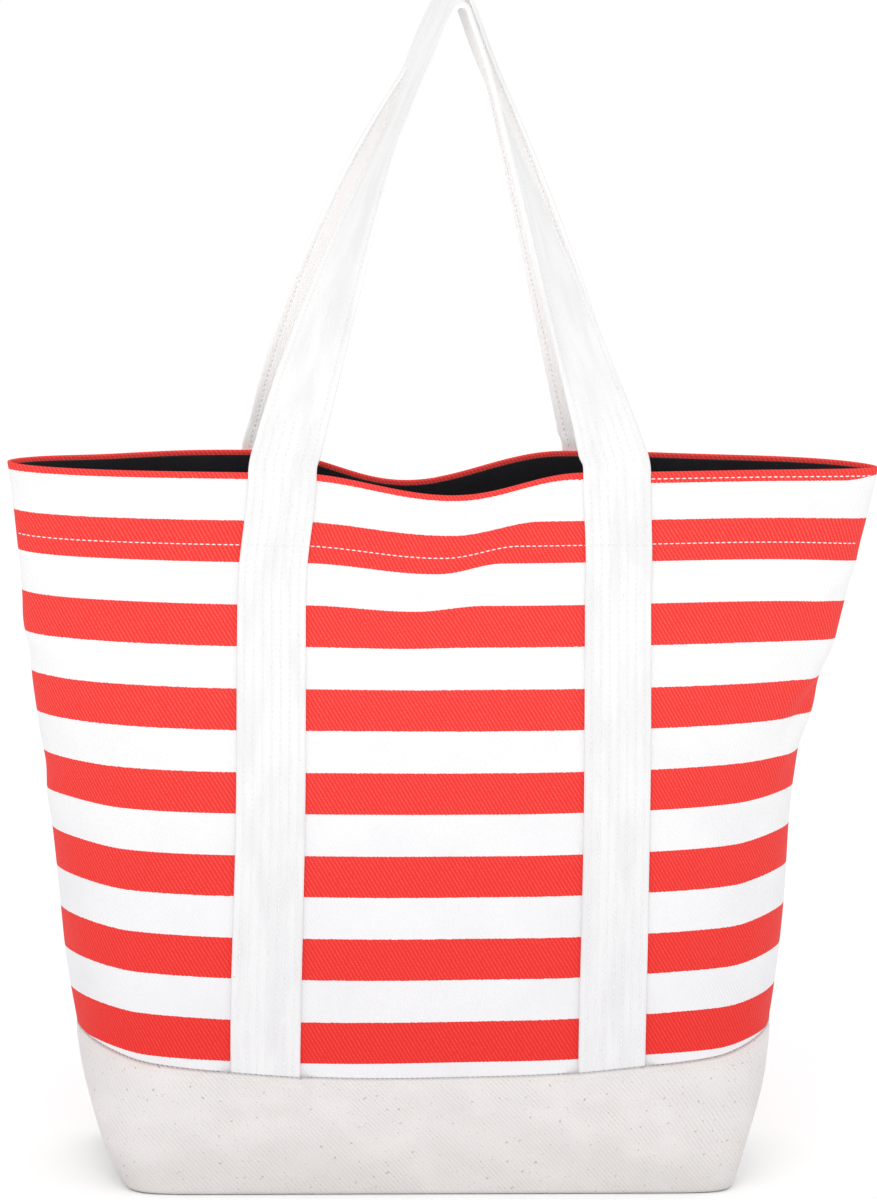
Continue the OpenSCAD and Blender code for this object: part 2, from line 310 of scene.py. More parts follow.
class Skin:
    """The outside of the canvas body, as a fine grid over both panels."""

    def __init__(self):
        self.rows = int(BODY_H / SKIN_STEP) + 1
        heights = np.linspace(0, BODY_H, self.rows)
        columns = 2 * HALF_COLUMNS
        self.place = np.zeros((self.rows, columns, 3))
        s = (np.arange(HALF_COLUMNS + 1) / HALF_COLUMNS - 0.5) * PANEL_W
        for row, t in enumerate(heights):
            x, y = spread_cloth(*outline(t), s)
            level = np.full_like(x, t)
            self.place[row, :HALF_COLUMNS] = np.stack([x, y, level], 1)[:-1]
            self.place[row, HALF_COLUMNS:] = np.stack([x, -y, level], 1)[:0:-1]
        s_all = np.concatenate([s[:-1], s[:-1]])
        s_grid, t_grid = np.meshgrid(s_all, heights)
        self.find_normals()
        front = np.arange(columns) < HALF_COLUMNS
        lift = np.where(front, push(s_grid, t_grid, True), push(s_grid, t_grid, False))
        self.place += self.normal * lift[..., None]
        for side in (True, False):
            mask = front if side else ~front
            # The back's own s runs the other way, as seen from the front
            across = s_grid[:, mask] if side else -s_grid[:, mask]
            parts = settle(np.moveaxis(self.place[:, mask], 2, 0), across, t_grid[:, mask], side)
            self.place[:, mask] = np.stack(parts, 2)
        self.find_normals()

    def find_normals(self):
        """Unit vectors out of the cloth at every point of the grid."""
        across = np.roll(self.place, -1, 1) - np.roll(self.place, 1, 1)
        up = np.gradient(self.place, axis=0)
        self.normal = unit(np.cross(across, up))

    def at(self, s, t, off, front):
        """Points off millimetres outside the canvas; s runs left to right, seen from that side."""
        s, t, off = np.broadcast_arrays(s, t, off)
        column = (s / PANEL_W + 0.5) * HALF_COLUMNS + (0 if front else HALF_COLUMNS)
        row = np.clip(t / BODY_H, 0, 1) * (self.rows - 1)
        c0 = np.floor(column).astype(int)
        r0 = np.minimum(np.floor(row).astype(int), self.rows - 2)
        fc = (column - c0)[..., None]
        fr = (row - r0)[..., None]
        c0 = c0 % (2 * HALF_COLUMNS)
        c1 = (c0 + 1) % (2 * HALF_COLUMNS)
        mixed = []
        for grid in (self.place, self.normal):
            low = grid[r0, c0] * (1 - fc) + grid[r0, c1] * fc
            high = grid[r0 + 1, c0] * (1 - fc) + grid[r0 + 1, c1] * fc
            mixed.append(low * (1 - fr) + high * fr)
        return mixed[0] + unit(mixed[1]) * off[..., None]

    def out(self, s, t, front):
        """Unit vectors out of the canvas."""
        return self.at(s, t, 1.0, front) - self.at(s, t, 0.0, front)


skin = Skin()

# ---- Mesh helpers ----


def add(name, data):
    """Put a new object into the scene."""
    made = bpy.data.objects.new(name, data)
    bpy.context.scene.collection.objects.link(made)
    return made


def make_mesh(name, points, faces, flat, material):
    """A smooth mesh from points in millimetres, with the cloth's flat coordinates."""
    mesh = bpy.data.meshes.new(name)
    mesh.from_pydata((np.asarray(points) * MM).tolist(), [], faces)
    mesh.update()
    mesh.polygons.foreach_set("use_smooth", [True] * len(mesh.polygons))
    if flat is not None:
        layer = mesh.attributes.new("flat", "FLOAT_VECTOR", "POINT").data
        layer.foreach_set("vector", np.asarray(flat, np.float32).ravel())
    mesh.materials.append(material)
    return add(name, mesh)


def ring_faces(rows, columns):
    """Quads of a tube of columns closed rings, each of rows points."""
    i, j = np.meshgrid(np.arange(rows), np.arange(columns - 1), indexing="ij")
    up = (i + 1) % rows
    quads = np.stack([i * columns + j, i * columns + j + 1, up * columns + j + 1, up * columns + j], -1)
    return quads.reshape(-1, 4).tolist()


def cap_faces(rows, columns, pairs):
    """End faces of such a tube, whose first pairs of points face the last ones."""
    faces = []
    for column, turn in ((0, 1), (columns - 1, -1)):
        for i in range(pairs - 1):
            quad = [i, i + 1, rows - 2 - i, rows - 1 - i]
            faces.append([k * columns + column for k in quad][::turn])
        tip = list(range(pairs - 1, rows - pairs + 1))
        if len(tip) > 2:
            faces.append([k * columns + column for k in tip][::turn])
    return faces


SEAM_COLUMNS = np.array([0, 0.4, 0.8, 1.3, 2, 3, 4.5, 6.5])
EVEN_FROM = 9  # the columns across a panel are evenly spaced from here on
EVEN_COLUMNS = np.linspace(EVEN_FROM, PANEL_W - EVEN_FROM, 190)
COLUMNS = np.concatenate([SEAM_COLUMNS, EVEN_COLUMNS, PANEL_W - SEAM_COLUMNS[::-1]]) - PANEL_W / 2
SEAM_DIP = 0.55  # how far the canvas turns in at a side seam,
SEAM_DIP_REACH = 1.3  # and over what distance
SEAM_ZONE = 12  # within this distance the two sides are kept apart


def wall(name, profile, front, material, extra=None, keep_apart=0.0):
    """A closed wall of cloth round one side; profile is a closed ring of (height, offset, flat height)
    that runs up the outside and, over as many points, down the inside. At the seams the inside stays
    keep_apart from the bag's middle plane."""
    heights, offsets, length = np.array(profile).T
    s_grid, t_grid = np.meshgrid(COLUMNS, heights)
    gap = PANEL_W / 2 - np.abs(s_grid)
    off_grid = offsets[:, None] - SEAM_DIP * np.exp(-((gap / SEAM_DIP_REACH) ** 2))
    if extra is not None:
        t_grid, off_grid = extra(s_grid, t_grid, off_grid)
    points = skin.at(s_grid, t_grid, off_grid, front)
    points[..., 2] = np.maximum(points[..., 2], 0)
    side = -1 if front else 1
    inside = offsets[:, None] < -0.01
    apart = side * np.maximum(side * points[..., 1], keep_apart)
    points[..., 1] = np.where(inside & (gap < SEAM_ZONE), apart, points[..., 1])
    flat = np.stack([s_grid, np.broadcast_to(length[:, None], s_grid.shape), 0 * s_grid], -1)
    rows = len(profile)
    faces = ring_faces(rows, len(COLUMNS)) + cap_faces(rows, len(COLUMNS), rows // 2)
    return make_mesh(name, points.reshape(-1, 3), faces, flat.reshape(-1, 3), material)


def finish_piece(piece, body, slot, *nodes):
    """Ride on a body and stand for the CAD nodes; the slot is not used."""
    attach(piece, body)
    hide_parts(*nodes)


# ---- Materials ----


class Net:
    """A Principled material and the few node kinds that the cloth needs."""

    def __init__(self, name, roughness, sheen=0.0, specular=0.25):
        self.material = bpy.data.materials.new(name)
        self.material.use_nodes = True
        self.tree = self.material.node_tree
        self.shader = self.tree.nodes["Principled BSDF"]
        self.shader.inputs["Roughness"].default_value = roughness
        self.shader.inputs["Specular IOR Level"].default_value = specular
        self.shader.inputs["Sheen Weight"].default_value = sheen

    def node(self, kind, inputs=(), **settings):
        """A new node, with its inputs set or linked."""
        made = self.tree.nodes.new(kind)
        for key, value in settings.items():
            setattr(made, key, value)
        for key, value in dict(inputs).items():
            self.feed(made.inputs[key], value)
        return made

    def feed(self, socket, value):
        if isinstance(value, bpy.types.NodeSocket):
            self.tree.links.new(value, socket)
        else:
            socket.default_value = value

    def math(self, operation, first, second=0.0, third=0.0):
        inputs = {0: first, 1: second, 2: third}
        return self.node("ShaderNodeMath", inputs, operation=operation).outputs[0]

    def flat(self):
        """The cloth's flat coordinates in millimetres: the vector, across and up."""
        made = self.node("ShaderNodeAttribute", attribute_name="flat")
        parts = self.node("ShaderNodeSeparateXYZ", {0: made.outputs["Vector"]})
        return made.outputs["Vector"], parts.outputs[0], parts.outputs[1]

    def scaled(self, vector, scale):
        return self.node("ShaderNodeVectorMath", {0: vector, 1: scale}, operation="MULTIPLY").outputs[0]

    def noise(self, vector, scale, detail, roughness):
        inputs = {"Vector": vector, "Scale": scale, "Detail": detail, "Roughness": roughness}
        return self.node("ShaderNodeTexNoise", inputs).outputs["Fac"]

    def grain(self, vector, across, up, detail=1.0, roughness=0.5):
        """Noise on the cloth, by its scale across and up."""
        return self.noise(self.scaled(vector, (across, up, 1)), 1.0, detail, roughness)

    def ramp(self, value, low, high, bottom=0.0, top=1.0, soft=True):
        inputs = {"Value": value, "From Min": low, "From Max": high, "To Min": bottom, "To Max": top}
        kind = "SMOOTHSTEP" if soft else "LINEAR"
        return self.node("ShaderNodeMapRange", inputs, interpolation_type=kind).outputs["Result"]

    def mix(self, factor, first, second):
        made = self.node("ShaderNodeMix", data_type="RGBA")
        self.feed(made.inputs[0], factor)
        self.feed(made.inputs[6], first)
        self.feed(made.inputs[7], second)
        return made.outputs[2]

    def wave(self, value, pitch):
        """Sine wave from 0 to 1 along a value in millimetres."""
        turns = self.math("MULTIPLY", value, 2 * math.pi / pitch)
        return self.math("MULTIPLY_ADD", self.math("SINE", turns), 0.5, 0.5)

    def twill(self, across, up, pitch, slope):
        """Ridges of a twill weave, which lean from upright."""
        part = self.math("MULTIPLY", up, math.sin(slope))
        return self.wave(self.math("MULTIPLY_ADD", across, math.cos(slope), part), pitch)

    def finish(self, colour, height, distance, strength):
        """Use a colour and a bump, whose distance is in metres."""
        self.feed(self.shader.inputs["Base Color"], colour)
        bump = self.node("ShaderNodeBump", {"Height": height, "Strength": strength, "Distance": distance})
        self.tree.links.new(bump.outputs[0], self.shader.inputs["Normal"])
        return self.material


RED = (0.795, 0.036, 0.030, 1)
RED_PALE = (0.885, 0.118, 0.104, 1)
RED_DEEP = (0.66, 0.022, 0.018, 1)
RED_LOW_PAINTED_SHADE = (0.90, 0.60, 0.59, 1)  # painted shade: the stripes' colours near the foot, darker where less light falls
WHITE_LOW_PAINTED_SHADE = (0.90, 0.90, 0.915, 1)
PLAIN = (1, 1, 1, 1)
WHITE = (0.85, 0.85, 0.856, 1)
WHITE_SHADE = (0.81, 0.81, 0.82, 1)
NATURAL = (0.785, 0.76, 0.753, 1)
NATURAL_SHADE = (0.612, 0.588, 0.58, 1)
FLECK = (0.33, 0.24, 0.16, 1)
STRAP_FLECK = (0.45, 0.40, 0.36, 1)
STRAP = (0.835, 0.835, 0.835, 1)
STRAP_SHADE = (0.775, 0.775, 0.778, 1)
# Painted light: a much lighter colour for the straps' inner faces, against the shade they get
STRAP_INNER_PAINTED_LIGHT = (0.97, 0.962, 0.953, 1)
STRAP_LOW_PAINTED_SHADE = (0.925, 0.925, 0.94, 1)  # painted shade: the straps darkened near the foot, where the light falls off
BASE_LOW_PAINTED_SHADE = (0.93, 0.925, 0.92, 1)  # painted shade: the base darkened near the floor, where the light falls off
BLACK = (0.0100, 0.0098, 0.0125, 1)
BLACK_PALE = (0.024, 0.022, 0.026, 1)

STRIPE_PITCH = 46.3
STRIPE_RED = 23.2
FIRST_STRIPE = 76.5  # flat height of the lowest red stripe's lower edge
FRAY = 1.1  # how far the stripes' edges waver
BLUR = 0.15  # half the width over which they change colour
RIM_BAND = 3.7  # height of the red band at the rim,
RIM_WIDER = 2.5  # and how much wider it is to the right, between two ramps
RIM_WIDER_FROM = (60.0, 122.0)
RIM_WIDER_TO = (243.0, 222.0)
HEM_INSIDE = 20  # the band ends this far past the rim, on the inside
STRIPES_PAINTED_SHADE_FALL = (290.0, 75.0)  # heights over which the panels are painted darker downwards, as painted shade of the light's falloff, and the base and the straps, by their length from the crown
BASE_PAINTED_SHADE_FALL = (45.0, 0.0)  # and the base
STRAP_PAINTED_SHADE_FALL = (380.0, 600.0)  # and the straps, by their length from the crown
TWILL_PITCH = 1.95
TWILL_LEAN = math.radians(32)
BASE_PITCH = 2.1
BASE_LEAN = math.radians(42)
STRAP_RIB = 1.25
LINING_WEAVE = 0.9
FIBRES = 2600.0  # how fine the thread's fibres are, per metre


def striped_canvas():
    """Red and white stripes in a twill weave, with a red band at the rim and painted shade towards the
    foot.
    """
    net = Net("striped_canvas", roughness=0.9, sheen=0.04)
    vector, across, up = net.flat()
    edge = net.math("MULTIPLY_ADD", net.grain(vector, 0.9, 0.9, 2.0, 0.6), FRAY, up)
    shifted = net.math("SUBTRACT", edge, FIRST_STRIPE + FRAY / 2)
    phase = net.math("FLOORED_MODULO", shifted, STRIPE_PITCH)
    rising = net.ramp(phase, 0.0, 2 * BLUR)
    falling = net.ramp(phase, STRIPE_RED - BLUR, STRIPE_RED + BLUR, 1.0, 0.0)
    red = net.math("MULTIPLY", rising, falling)
    wide = net.math("MULTIPLY", net.ramp(across, *RIM_WIDER_FROM), net.ramp(across, *RIM_WIDER_TO))
    rim = net.math("MULTIPLY_ADD", wide, -RIM_WIDER, BODY_H - RIM_BAND)
    above = net.math("GREATER_THAN", edge, net.math("ADD", rim, FRAY / 2))
    below = net.math("LESS_THAN", up, BODY_H + HEM_INSIDE)
    red = net.math("MAXIMUM", red, net.math("MULTIPLY", above, below))
    ridges = net.twill(across, up, TWILL_PITCH, TWILL_LEAN)
    yarn = net.grain(vector, 1.3, 2.6, 3.0, 0.6)
    cloud = net.grain(vector, 0.02, 0.02, 3.0)
    weave = net.math("MULTIPLY", ridges, net.ramp(yarn, 0.3, 0.7))
    red_tone = net.mix(net.ramp(weave, 0.1, 0.8), RED, RED_PALE)
    red_tone = net.mix(net.ramp(yarn, 0.5, 0.15, 0.0, 0.5), red_tone, RED_DEEP)
    white_tone = net.mix(net.ramp(cloud, 0.35, 0.75), WHITE, WHITE_SHADE)
    colour = net.mix(red, white_tone, red_tone)
    # Painted shade: the stripes are darkened towards the foot, where the light falls off
    painted_shade_fall = net.ramp(up, *STRIPES_PAINTED_SHADE_FALL, soft=False)
    colour = net.scaled(colour, net.mix(painted_shade_fall, PLAIN, net.mix(red, WHITE_LOW_PAINTED_SHADE, RED_LOW_PAINTED_SHADE)))
    height = net.math("MULTIPLY_ADD", yarn, 0.6, ridges)
    return net.finish(colour, height, 0.00016, 0.7)


def natural_canvas():
    """Unbleached canvas in a patchy twill, with specks of seed in it and painted shade towards the floor.
    """
    net = Net("natural_canvas", roughness=0.92, sheen=0.04)
    vector, across, up = net.flat()
    ridges = net.twill(across, up, BASE_PITCH, BASE_LEAN)
    yarn = net.grain(vector, 1.1, 1.4, 3.0, 0.65)
    cloud = net.grain(vector, 0.012, 0.03, 2.0)
    tone = net.mix(net.ramp(cloud, 0.3, 0.7, 0.0, 0.35), NATURAL, NATURAL_SHADE)
    tone = net.mix(net.math("MULTIPLY", net.ramp(yarn, 0.65, 0.25), 0.6), tone, NATURAL_SHADE)
    patch = net.ramp(net.grain(vector, 0.035, 0.05), 0.35, 0.6, 0.25, 1.0)
    hollows = net.math("MULTIPLY", net.math("SUBTRACT", 1.0, ridges), patch)
    tone = net.mix(net.math("MULTIPLY", hollows, 0.62), tone, NATURAL_SHADE)
    specks = net.ramp(net.grain(vector, 0.30, 0.33), 0.70, 0.755, 0.0, 0.5)
    fine = net.ramp(net.grain(vector, 0.8, 0.9, 0.0), 0.75, 0.82, 0.0, 0.45)
    colour = net.mix(net.math("MAXIMUM", specks, fine), tone, FLECK)
    # Painted shade: the base is darkened towards the floor, where the light falls off
    colour = net.scaled(colour, net.mix(net.ramp(up, *BASE_PAINTED_SHADE_FALL), PLAIN, BASE_LOW_PAINTED_SHADE))
    height = net.math("MULTIPLY_ADD", yarn, 0.9, net.math("MULTIPLY", ridges, 0.6))
    return net.finish(colour, height, 0.00022, 0.8)


def strap_canvas():
    """White strap with ribs along it, with painted light on its inner face and painted shade towards its
    feet.
    """
    net = Net("strap_canvas", roughness=0.9, sheen=0.04)
    vector, across, up = net.flat()
    yarn = net.grain(vector, 1.6, 1.1, 3.0, 0.65)
    cloud = net.grain(vector, 0.09, 0.02, 2.0)
    tone = net.mix(net.ramp(cloud, 0.35, 0.7), STRAP, STRAP_SHADE)
    # Painted light: the inner face is painted much lighter, against the shade it gets between the handles
    face = net.node("ShaderNodeSeparateXYZ", {0: vector}).outputs[2]
    tone = net.mix(net.math("LESS_THAN", face, -0.5), tone, STRAP_INNER_PAINTED_LIGHT)
    specks = net.ramp(net.grain(vector, 0.55, 0.45), 0.74, 0.80, 0.0, 0.4)
    colour = net.mix(specks, tone, STRAP_FLECK)
    # Painted shade: the straps are darkened towards their feet, where the light falls off
    from_crown = net.math("ABSOLUTE", up)
    colour = net.scaled(colour, net.mix(net.ramp(from_crown, *STRAP_PAINTED_SHADE_FALL), PLAIN, STRAP_LOW_PAINTED_SHADE))
    height = net.math("MULTIPLY_ADD", yarn, 0.8, net.math("MULTIPLY", net.wave(across, STRAP_RIB), 0.5))
    return net.finish(colour, height, 0.0002, 0.8)


def lining_cloth():
    """Smooth black lining, with a little sheen."""
    net = Net("lining_cloth", roughness=0.55, sheen=0.12)
    vector, across, up = net.flat()
    weave = net.math("MULTIPLY", net.wave(across, LINING_WEAVE), net.wave(up, LINING_WEAVE))
    cloud = net.grain(vector, 0.03, 0.03, 3.0)
    colour = net.mix(net.math("MULTIPLY", weave, net.ramp(cloud, 0.3, 0.8)), BLACK, BLACK_PALE)
    height = net.math("MULTIPLY_ADD", cloud, 3.0, weave)
    return net.finish(colour, height, 0.00015, 0.5)


def thread(name, colour, shade):
    """Sewing thread of fine fibres."""
    net = Net(name, roughness=0.6, sheen=0.1)
    place = net.node("ShaderNodeTexCoord").outputs["Object"]
    fibre = net.noise(place, FIBRES, 2.0, 0.6)
    tone = net.mix(net.ramp(fibre, 0.3, 0.7), colour, shade)
    return net.finish(tone, fibre, 0.0001, 0.6)


STRIPED = striped_canvas()
BASE_CLOTH = natural_canvas()
STRAP_CLOTH = strap_canvas()
LINING_CLOTH = lining_cloth()
WHITE_THREAD = thread("white_thread", (0.90, 0.90, 0.91, 1), (0.78, 0.78, 0.80, 1))
NATURAL_THREAD = thread("natural_thread", (0.86, 0.82, 0.77, 1), (0.72, 0.68, 0.62, 1))

# ---- Body pieces ----

HEM_STEP = 3.0  # height over which the inside steps in under the hem
RIM_REVEAL = 2.4  # red that shows above the lining's edge
FOLD_STEPS = 7
SHEET_FOOT = 2.0  # where the panels start, under the base wall
LINING_FOOT = 2.2
COARSE_STEP = 8  # height between rows under the base wall,
FINE_FROM = 50  # and above this height
FINE_STEP = 2.5
LINING_STEP = 4
SIDE = {True: "front", False: "back"}


def half_round(top, outer, inner, flat_start):
    """The turned edge of a layer, from its outside over the top to its inside."""
    radius = (outer - inner) / 2
    middle = (outer + inner) / 2
    return [(top - radius + radius * math.sin(a), middle + radius * math.cos(a), flat_start + radius * a)
            for a in np.linspace(0, math.pi, FOLD_STEPS + 2)[1:-1]]


def levels(low, high, step):
    """Even heights, about a step apart."""
    return np.linspace(low, high, max(2, int(round((high - low) / step)) + 1))


def canvas_panel(front):
    """One striped panel, whose top is turned in as a hem."""
    side = SIDE[front]
    inner = -2 * CANVAS
    top = BODY_H - CANVAS
    low = levels(SHEET_FOOT, FINE_FROM, COARSE_STEP)[:-1]
    heights = np.concatenate([low, levels(FINE_FROM, top, FINE_STEP)])
    rising = [(t, 0.0, t) for t in heights]
    turn = half_round(BODY_H, 0.0, inner, top)
    start = top + CANVAS * math.pi
    falling = []
    for t in heights[::-1]:
        step = smooth(t, HEM_Z - HEM_STEP, HEM_Z)
        falling.append((t, -CANVAS + step * (inner + CANVAS), start + top - t))
    name = f"{side}_canvas_panel"
    piece = wall(name, rising + turn + falling, front, STRIPED, keep_apart=0.25)
    finish_piece(piece, "bag", "striped_canvas", f"{side}_panel")


def lining_wall(front):
    """The lining of one panel, which steps in under the hem."""
    side = SIDE[front]
    face = -CANVAS - PLY
    over = -2 * CANVAS - PLY
    top = BODY_H - RIM_REVEAL
    heights = levels(LINING_FOOT, top - 1.6 * LINING, LINING_STEP)

    def offset(t):
        step = smooth(t, HEM_Z - 2.5 * HEM_STEP, HEM_Z - 1.5 * HEM_STEP)
        return face + step * (over - face)

    rising = [(t, offset(t), t) for t in heights]
    turn = half_round(top, over, over - 1.5 * LINING, top)
    falling = []
    for t in heights[::-1]:
        thick = LINING * (1 + 0.5 * smooth(t, top - 14, top - 10))
        falling.append((t, offset(t) - thick, t))
    piece = wall(f"{side}_lining_wall", rising + turn + falling, front, LINING_CLOTH, keep_apart=0.05)
    finish_piece(piece, "bag", "lining", f"lining_{side}")


BASE_RISE = 10.7  # the base wall's edge is this much higher at the side seams
BASE_MIDDLE = BASE_H - 3.7  # height of the edge at the middle of a panel
BASE_TURN = 3.2  # radius of the turn under the bag
STRAP_S = 97.0  # the straps' middles, measured along the panel from its middle
EDGE_SINK = 0.5  # how deep the base wall's upper edge is sewn into the panel
EDGE_PRESS = 1.12  # how much thinner it is pressed there,
EDGE_PRESS_REACH = 8  # and how far down
STRAP_TUCK = 56.0  # the straps' lower ends, under the base wall


def base_edge(s):
    """Height of the base wall's upper edge."""
    return BASE_MIDDLE + BASE_RISE * (s / (PANEL_W / 2)) ** 2


def strap_bulge(s, t):
    """How much the base wall stands out over the strap ends."""
    beside = np.abs(np.abs(s) - STRAP_S) - STRAP_W / 2
    return (STRAP_T + PLY) * (1 - smooth(beside, 0.5, 9)) * smooth(t, STRAP_TUCK - 12, STRAP_TUCK - 1)


def edge_press(below):
    """How much thinner the base wall is, at a distance below its upper edge."""
    return EDGE_PRESS * smooth(below, EDGE_PRESS_REACH, 0)


def base_wall(front):
    """The natural canvas wall over the foot of one panel, turned under the bag."""
    side = SIDE[front]
    outer = CANVAS + PLY
    inner = PLY
    upper = levels(BASE_TURN, BASE_H, FINE_STEP)
    arc = [(BASE_TURN * (1 - math.sin(a)), BASE_TURN * (math.cos(a) - 1), BASE_TURN * (1 - a))
           for a in np.linspace(math.pi / 2, 0, 7)[:-1]]
    rising = [(t, outer + dip, length) for t, dip, length in arc]
    rising += [(t, outer - edge_press(BASE_H - t), t) for t in upper]
    turn = half_round(BASE_H, outer - edge_press(0), inner - EDGE_SINK, BASE_H)
    falling = [(t, inner - EDGE_SINK * smooth(BASE_H - t, 9, 2), t) for t in upper[::-1]]
    falling += [(max(t, CANVAS), inner + dip, length) for t, dip, length in arc[::-1]]

    def shape(s, t, off):
        t = t * (1 + (base_edge(s) / BASE_H - 1) * smooth(t, 0, BASE_H))
        return t, off + strap_bulge(s, t)

    piece = wall(f"{side}_base_wall", rising + turn + falling, front, BASE_CLOTH, extra=shape)
    finish_piece(piece, "bag", "natural_canvas", f"base_{side}")


EDGE_SPREAD = 400  # a sheet's rounded edge stands out by its thickness over this, as a share


def floor_sheet(name, inset, bottom, top, material):
    """A flat sheet inside the body's foot, with rounded edges."""
    s = np.linspace(-PANEL_W / 2, PANEL_W / 2, 121)[:-1]
    rim = np.concatenate([skin.at(s, 0.0, -inset, front) for front in (True, False)])[:, :2]
    centre = rim.mean(0)

    def loop(share, height):
        return np.column_stack([centre + (rim - centre) * share, np.full(len(rim), height)])

    shares = [0.25, 0.5, 0.7, 0.85, 0.95, 1.0]
    loops = [loop(share, bottom) for share in shares]
    loops.append(loop(1 + (top - bottom) / EDGE_SPREAD, (bottom + top) / 2))
    loops += [loop(share, top) for share in shares[::-1]]
    count = len(rim)
    rows = len(loops)
    low, high = rows * count, rows * count + 1
    faces = ring_faces(count, rows)
    for j in range(count):
        k = (j + 1) % count
        faces.append([low, j * rows, k * rows])
        faces.append([high, k * rows + rows - 1, j * rows + rows - 1])
    grid = np.stack(loops, 1).reshape(-1, 3)
    grid = np.vstack([grid, [*centre, bottom], [*centre, top]])
    return make_mesh(name, grid, faces, grid, material)


def foot_sheets():
    """The bag's bottom and the lining on it."""
    bottom = floor_sheet("base_bottom_sheet", BASE_TURN - 1, 0.1, CANVAS, BASE_CLOTH)
    finish_piece(bottom, "bag", "natural_canvas", "base_bottom")
    over = CANVAS + PLY
    lining = floor_sheet("lining_bottom_sheet", LINING_FOOT, over, over + LINING, LINING_CLOTH)
    finish_piece(lining, "bag", "lining", "lining_bottom")


for is_front in (True, False):
    base_wall(is_front)
    canvas_panel(is_front)
    lining_wall(is_front)
foot_sheets()

# ---- Handles ----

ROW_PITCH = 5.0
ROWS = [(i - 3) * ROW_PITCH for i in range(7)]
EDGE_ROWS = [ROWS[0], ROWS[-1]]
ROW_RISE = 32.0  # the inner rows end this far above the rim
GROOVE = 0.32  # how deep a row of stitching draws the strap's face in,
GROOVE_W = 0.62  # and how wide
CROWN_R = 4.5
CROWN_X = {True: 1.8, False: 5.9}
CROWN_YAW = math.radians(7)
CROWN_WAY = np.array([math.cos(CROWN_YAW), math.sin(CROWN_YAW), 0.0])
CROWN_GAP = 0.3  # from the bag's middle plane to a crown's inner edge
# How each strand runs, by handle and side: its reach from the foot and from the crown, its slope
# there, the height over which it turns, and how late it does so
COURSE = {
    (True, -1): (13.0, 130.0, math.radians(24), 186, 0.93),
    (True, 1): (14.0, 100.0, math.radians(20), 232, 0.78),
    (False, -1): (14.0, 112.0, math.radians(33), 255, 1.2),
    (False, 1): (14.0, 98.0, math.radians(22), 228, 0.95),
}
ROOTED = 15.0  # up to this far above the rim a strand still follows its leg
FOOT_SPAN = 12  # a leg's direction is taken over this length
TURN_START = (-8, 30)  # heights from the rim where the turning starts
TURN_EASE = 9  # stations over which it is evened out
LEG_STEP = 2.6
STRAND_STEPS = 110
CROWN_STEPS = 17


def strap_section():
    """The strap's closed section as points (across, out): along its outer face and back."""
    half = STRAP_W / 2
    radius = STRAP_T / 2
    offsets = [-half + radius]
    for row in ROWS:
        offsets += [row + step for step in (-1.0, -0.5, 0, 0.5, 1.0)]
    offsets.append(half - radius)
    face = np.unique(np.concatenate([offsets, [(a + b) / 2 for a, b in zip(ROWS, ROWS[1:])]]))
    edge = [(half - radius + radius * math.cos(a), radius * math.sin(a))
            for a in np.linspace(math.pi / 2, -math.pi / 2, 9)[1:-1]]
    section = [(w, radius) for w in face] + edge + [(w, -radius) for w in face[::-1]]
    section += [(-w, h) for w, h in edge[::-1]]
    return np.array(section)


SECTION = strap_section()


def leg_points(side, front, t, w, h):
    """Points of a leg; w grows towards the inside of the handle and h grows outward."""
    facing = side if front else -side
    return skin.at(facing * (STRAP_S - w), t, PLY + STRAP_T / 2 + h, front)


